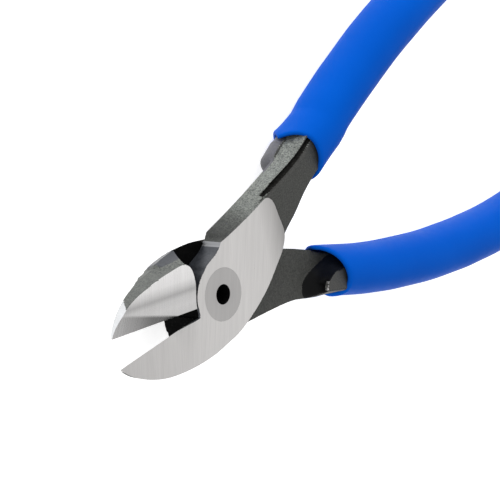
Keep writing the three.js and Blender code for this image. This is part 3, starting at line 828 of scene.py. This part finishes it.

# Painted light and shade: the ground face is darker towards the handles, brightest in the middle and a
# little darker at the tips.
M_GROUND = ground_steel(
    "ground_face_steel", (0.69, 0.675, 0.665), GRAIN, 0.34,
    painted_light=(TO_TIPS, -0.022, 0.03,
          [(0, 0.5), (0.06, 0.75), (0.13, 0.95), (0.3, 1.0), (0.62, 0.94), (1, 0.84)]))
# Painted reflection: light and dark bands across the upper jaw; past the facet line, painted shade makes
# the facet darker towards the pivot.
M_JAW = ground_steel(
    "polished_jaw_steel_painted_reflections", (0.83, 0.82, 0.815), GRAIN, 0.28,
    painted_light=(ACROSS_JAW, -0.0013, 0.0087,
          [(0, 0.72), (0.22, 0.8), (0.37, 0.74), (0.46, 0.55), (0.56, 0.79), (0.68, 1.0),
           (1, 1.1)]),
    swap=(*facet_side(0.25),
          (TO_TIPS, 0.012, 0.03, [(0, 0.16), (0.4, 0.25), (0.8, 0.5), (1, 0.62)])))
M_TIP = ground_steel("tip_steel", (0.55, 0.56, 0.57), GRAIN, 0.4)
M_BEVEL = ground_steel("bevel_steel", (0.55, 0.55, 0.55), 10, 0.3)
M_STEP = ground_steel("step_steel", (0.27, 0.275, 0.285), GRAIN, 0.5)
M_RIVET = ground_steel("rivet_steel", (0.49, 0.48, 0.475), GRAIN, 0.4)
M_FORGED = forged_steel("forged_skin", (0.024, 0.025, 0.023), (0.068, 0.069, 0.064))
# Painted light: a lighter copy of the forged skin for the sides that face the light, with painted light
# and dark bands along x.
M_FLANK = forged_steel(
    "flank_painted_light", (0.015, 0.017, 0.016), (0.135, 0.143, 0.132), rough=0.6, grit=1.3,
    painted_light=(TO_TIPS, -0.02, 0.015,
          [(0, 2.0), (0.18, 1.6), (0.3, 0.7), (0.45, 0.3), (0.71, 1.4), (1, 1.1)]))
M_TANG = forged_steel(
    "smooth_tang", (0.068, 0.068, 0.077), (0.1, 0.1, 0.112), rough=0.45, grit=0.2)
# Machined wall steel, its dark blue-grey colour a painted dark reflection and shade.
M_WALL = forged_steel(
    "turned_wall", (0.03, 0.033, 0.039), (0.05, 0.054, 0.063), rough=0.35, grit=0.15,
    metallic=0.5)
# Painted shade: near-black put on recesses, gaps, lap faces and the rivet's hole where shade falls.
M_PAINTED_SHADE = forged_steel(
    "painted_shade_recess", (0.001, 0.001, 0.001), (0.004, 0.004, 0.004), rough=0.8, grit=0.3,
    metallic=0.0, shine=0.03)
# Painted shade: the boss's slanted sides darken to near black towards the hollow ramp.
M_SLANT = forged_steel(
    "boss_flank", (0.011, 0.012, 0.015), (0.02, 0.022, 0.028), rough=0.4, grit=0.15,
    metallic=0.3, shine=0.2,
    painted_light=(TO_HANDLES, 0.0325, 0.038, [(0, 0.06), (0.4, 0.3), (1, 1.0)]))
# Painted shadow: near-black on the floor of the trench along the neck.
M_TRENCH_SHADOW = forged_steel(
    "trench_painted_shadow", (0.002, 0.002, 0.002), (0.022, 0.022, 0.02), rough=0.7, metallic=0.1,
    shine=0.1)
M_BOSS = forged_steel(
    "boss_flat", (0.03, 0.03, 0.028), (0.066, 0.066, 0.062), rough=0.5, grit=0.8)
M_FRONT_GRIP = blue_vinyl("blue_dipped_vinyl")
M_REAR_GRIP = blue_vinyl("blue_dipped_vinyl_rear")

# slots of the two levers' steels, in this order; GROUND is M_JAW on the rear lever
FORGED, GROUND, WALL, BEVEL, FLANK, TANG, PAINTED_SHADE, TIP, BOSS, SLANT, TRENCH_SHADOW, STEP = range(12)
STEELS = [M_FORGED, M_GROUND, M_WALL, M_BEVEL, M_FLANK, M_TANG, M_PAINTED_SHADE, M_TIP, M_BOSS,
          M_SLANT, M_TRENCH_SHADOW, M_STEP]


# ---------------------------------------------------------------- which face gets which steel
def paint(ob, choose, mats):
    """Give each face the material that choose picks from its middle and its normal."""
    me = ob.data
    for m in mats:
        me.materials.append(m)
    n = len(me.polygons)
    centre = np.empty(n * 3)
    normal = np.empty(n * 3)
    me.polygons.foreach_get("center", centre)
    me.polygons.foreach_get("normal", normal)
    centre = centre.reshape(-1, 3) * 1000 - np.array([0, 0, HALF])
    normal = normal.reshape(-1, 3)
    me.polygons.foreach_set("material_index", choose(centre, normal).astype(np.int32))
    me.update()


def under_edge(v, z):
    """Close behind a cutting edge, on the long bevel below it."""
    return v < 0.6 + (EDGE_Z - z) * 0.75


def edge_root(run, v, far):
    """The root of a cutting edge, beside the disc; far is its depth at the outer end."""
    return (run > 6.9) & (run < 11.5) & (v < np.interp(run, [9.4, 11.5], [4.0, far]))


def front_regions(c, n):
    """Steels of the front lever's faces; each rule paints over those before it."""
    x, y, z = c.T
    nx, ny, nz = n.T
    run, v = edge_frame(x, y, FRONT_EDGE)
    r = np.hypot(x, y)
    upright = np.abs(nz) < 0.5
    idx = np.full(len(c), FORGED)
    # sides facing the light take the flank steel with its painted light
    idx[(ny < -0.35) & (nz < 0.75) & (nz > -0.6) & (z > -0.2)] = FLANK
    idx[(z < 0.75) & (x < -24) & (y < -12) & (nz < 0.6)] = TANG
    # the floor of the trench, near-black as painted shadow, and the strip of the front flat beside it
    gs, gu = line_coordinates(x, y, TRENCH)
    floor_width = 0.35 + 0.12 * np.clip(gs, 0, 3)
    idx[(gs > 0.5) & (np.abs(gu) < floor_width) & (z < 4.4) & (z > 3) & (x < -17)] = TRENCH_SHADOW
    idx[(gs > 0.8) & (gu < -0.7) & (gu > -1.15) & (z > 4.1) & (x < -17)] = BOSS
    # ground front face and facet, and ground back
    idx[(nz > 0.95) & (x > -22.3) & ((z > 4.85) | ((run > 7.6) & (z > 3.8)))] = GROUND
    idx[(nz < -0.8) & (z < -4.7) & (x > 5)] = GROUND
    # rim of the disc, step in the outline, lap face; the rim and lap face take the wall steel's painted
    # dark reflection
    idx[upright & (r < 10) & (z > 0) & (x > -2.4) & (y < 2)] = WALL
    step = (x > -2.72) & (x < -1.9) & (y < -9.2) & (z > 0)
    idx[step & (np.abs(nz) < 0.6) & (nx > 0.35)] = STEP
    idx[(np.abs(nz) > 0.9) & (np.abs(z - LAP) < 0.1)] = WALL
    # under the cutting edge, then the recesses, near-black as painted shade
    idx[(run > GAP_START) & under_edge(v, z) & (z < 4.1) & (nz < 0.8) & (y < 9)] = BEVEL
    idx[upright & (r < 9) & (z < LAP)] = PAINTED_SHADE
    idx[edge_root(run, v, 0.5) & (nz < 0.5) & (z < 4.3)] = PAINTED_SHADE
    idx[(run > 6.9) & (run < 9.3) & (nx > 0.4) & (z < 4.4)] = PAINTED_SHADE
    return idx


def rear_regions(c, n):
    """Steels of the rear lever's faces; each rule paints over those before it."""
    x, y, z = c.T
    nx, ny, nz = n.T
    run, v = edge_frame(x, y, REAR_EDGE)
    r = np.hypot(x, y)
    idx = np.full(len(c), FORGED)
    # sides facing the light take the flank steel with its painted light
    idx[(ny < -0.3) & (y < -4) & (nz < 0.75)] = FLANK
    # wall behind the step in the jaw's outline, in the wall steel's painted dark reflection
    wall_top = 2.4 - 0.33 * np.maximum(x - 10, 0)
    idx[(y < -9.6) & (x > 5) & (x < 11.5) & (z < wall_top) & (nz < 0.6)] = WALL
    # ground face of the jaw, its tip, the back, and the facet along the edge
    idx[(nz > 0.9) & (x > 6.2) & (z > 3.9) & (y < 2)] = GROUND
    idx[(ny < -0.3) & (x > 24.0 + (z - 3) * 0.8) & (y < -2)] = TIP
    idx[(nz < -0.8) & (z < -4.7) & (x > -24)] = GROUND
    on_facet = (run > FACET_START) & (v < FACET_RATE * (run - FACET_START) + 0.3)
    idx[on_facet & (nz > 0.1) & (nz < 0.992) & (z > 3.8)] = GROUND
    idx[(run > 8.2) & under_edge(v, z) & (z < 4.0) & (nz < 0.1) & (y > -9)] = BEVEL
    # lap face, seat and rim of the disc, near-black as painted shade
    idx[(np.abs(nz) > 0.9) & (np.abs(z + LAP) < 0.12) & (x > -2.5)] = PAINTED_SHADE
    idx[(r < 9.2) & (np.abs(nz) < 0.6) & (z > -LAP)] = PAINTED_SHADE
    idx[(np.abs(nz) < 0.5) & (r < 8.2) & (z < -0.1) & (x > 2)] = PAINTED_SHADE
    idx[(x > 5.5) & (x < 8.3) & (nx < -0.3) & (nz < 0.6) & (y < 0.5) & (z > -LAP)] = PAINTED_SHADE
    # boss: slanted sides with painted shade, front flat, and a patch of its ramp in bright jaw steel as a
    # painted highlight
    boss = (x < -28.2) & (z > -0.1) & (y > 8)
    idx[boss] = SLANT
    idx[boss & (nz > 0.9) & (z > 4.3)] = BOSS
    idx[boss & (x > -33.1) & (z > 3.7) & (nx > 0.3) & (y > 10.8) & (y < 13.2)] = GROUND
    idx[(x < -28.2) & (y > 12) & (nz < 0.4) & (ny > 0.3)] = FORGED
    # the root of the cutting edge, near-black as painted shade
    idx[edge_root(run, v, 0.9) & (nz < 0.4) & (z < 3.9)] = PAINTED_SHADE
    return idx


def rivet_regions(c, n):
    """The blind hole is the second material, near-black as painted shade."""
    return ((np.hypot(c[:, 0], c[:, 1]) < 2.05) & (c[:, 2] < 4.97)).astype(int)


def crisp_borders(ob, degrees):
    """Edges between two materials are sharp where the surface turns by more than this."""
    me = ob.data
    ne, nf = len(me.edges), len(me.polygons)
    normal = np.empty(nf * 3)
    me.polygons.foreach_get("normal", normal)
    normal = normal.reshape(-1, 3)
    mat = np.empty(nf, np.int32)
    me.polygons.foreach_get("material_index", mat)
    total = np.empty(nf, np.int32)
    me.polygons.foreach_get("loop_total", total)
    edge = np.empty(len(me.loops), np.int32)
    me.loops.foreach_get("edge_index", edge)
    face = np.repeat(np.arange(nf), total)
    order = np.argsort(edge, kind="stable")
    edge, face = edge[order], face[order]
    pair = np.flatnonzero(edge[1:] == edge[:-1])
    f1, f2, e = face[pair], face[pair + 1], edge[pair]
    turn = np.degrees(np.arccos(np.clip((normal[f1] * normal[f2]).sum(1), -1, 1)))
    sharp = (turn > degrees) & (mat[f1] != mat[f2])
    layer = me.attributes.get("sharp_edge") or me.attributes.new("sharp_edge", "BOOLEAN", "EDGE")
    flags = np.zeros(ne, bool)
    layer.data.foreach_get("value", flags)
    flags[e[sharp]] = True
    layer.data.foreach_set("value", flags)
    me.update()

# ---------------------------------------------------------------- the pieces
SHARP_BORDER = 5    # degrees

front = mesh_object("front_lever_steel_piece", *front_lever())
smooth(front, 32)
paint(front, front_regions, STEELS)
crisp_borders(front, SHARP_BORDER)

rear = mesh_object("rear_lever_steel_piece", *rear_lever())
smooth(rear, 32)
paint(rear, rear_regions, [M_FORGED, M_JAW] + STEELS[2:])
crisp_borders(rear, SHARP_BORDER)

pin = mesh_object("pivot_rivet_piece", *rivet())
smooth(pin, 30)
paint(pin, rivet_regions, [M_RIVET, M_PAINTED_SHADE])

front_sleeve = mesh_object("front_grip_sleeve", *sleeve(-1))
smooth(front_sleeve, 60)
front_sleeve.data.materials.append(M_FRONT_GRIP)

rear_sleeve = mesh_object("rear_grip_sleeve", *sleeve(1))
smooth(rear_sleeve, 60)
rear_sleeve.data.materials.append(M_REAR_GRIP)

for ob, body, old, slot in (
    (front, "front_half", "front_lever", "front_lever_steel"),
    (pin, "front_half", "pivot_rivet", "rivet_steel"),
    (front_sleeve, "front_half", "front_grip", "front_grip_vinyl"),
    (rear, "rear_half", "rear_lever", "rear_lever_steel"),
    (rear_sleeve, "rear_half", "rear_grip", "rear_grip_vinyl"),
):
    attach(ob, body)
    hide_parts(old)

# ---------------------------------------------------------------- floor, light, camera
FLOOR_GAP = 0.0002
bpy.ops.mesh.primitive_plane_add(size=6.0, location=(0, 0, cad_box[0][2] - FLOOR_GAP))
floor = bpy.context.object
floor.name = "floor"
pale, _, pale_bsdf = material("pale_floor")
pale_bsdf.inputs["Base Color"].default_value = (0.85, 0.85, 0.85, 1)
pale_bsdf.inputs["Emission Color"].default_value = (1, 1, 1, 1)
pale_bsdf.inputs["Emission Strength"].default_value = 0.6
pale_bsdf.inputs["Roughness"].default_value = 0.9
pale_bsdf.inputs["Specular IOR Level"].default_value = 0.1
floor.data.materials.append(pale)

LIT_POINT = Vector((-0.01, -0.005, 0.005))


def softbox(name, direction, distance, size, power, mirrored=False):
    """A soft lamp; mirrored says whether it shows as a highlight in the bright steel."""
    lamp = bpy.data.lights.new(name, "AREA")
    lamp.shape = "RECTANGLE"
    lamp.size, lamp.size_y = size
    lamp.energy = power
    ob = bpy.data.objects.new(name, lamp)
    bpy.context.scene.collection.objects.link(ob)
    d = Vector(direction).normalized()
    ob.location = LIT_POINT + d * distance
    ob.rotation_euler = (-d).to_track_quat("-Z", "Y").to_euler()
    ob.visible_glossy = mirrored


softbox("key", (-0.25, -0.9, 0.5), 0.9, (1.4, 0.8), 9.0)
softbox("fill", (0.9, 0.3, 0.9), 1.1, (1.7, 1.7), 4.0)
softbox("sheen", (-0.66, 0.35, 0.67), 1.2, (1.2, 0.9), 0.45, True)
world = bpy.data.worlds.new("studio")
bpy.context.scene.world = world
world.use_nodes = True
world.node_tree.nodes["Background"].inputs["Color"].default_value = (1, 1, 1, 1)
world.node_tree.nodes["Background"].inputs["Strength"].default_value = 0.75

# The camera looks down on the flush side from beyond the jaws.
AIM = Vector((-0.01033, -0.00535, 0.01))
AZIMUTH, ELEVATION, ROLL, DISTANCE = -25.456, 40.887, 94.536, 0.28531
az, el = AZIMUTH * RAD, ELEVATION * RAD
towards = Vector((math.cos(el) * math.cos(az), math.cos(el) * math.sin(az), math.sin(el)))
level_right = (-towards).cross(Vector((0, 0, 1))).normalized()
level_up = level_right.cross(-towards)
cr, sr = math.cos(ROLL * RAD), math.sin(ROLL * RAD)
right = level_right * cr + level_up * sr
up = -level_right * sr + level_up * cr
cam = bpy.data.cameras.new("camera")
cam.sensor_width = 36
cam.lens = 100.8
cam.clip_start = 0.01
camera = bpy.data.objects.new("camera", cam)
bpy.context.scene.collection.objects.link(camera)
basis = Matrix((right, up, towards)).transposed().to_4x4()
basis.translation = AIM + towards * DISTANCE
camera.matrix_world = basis
bpy.context.scene.camera = camera
bpy.context.scene.view_settings.view_transform = "Standard"
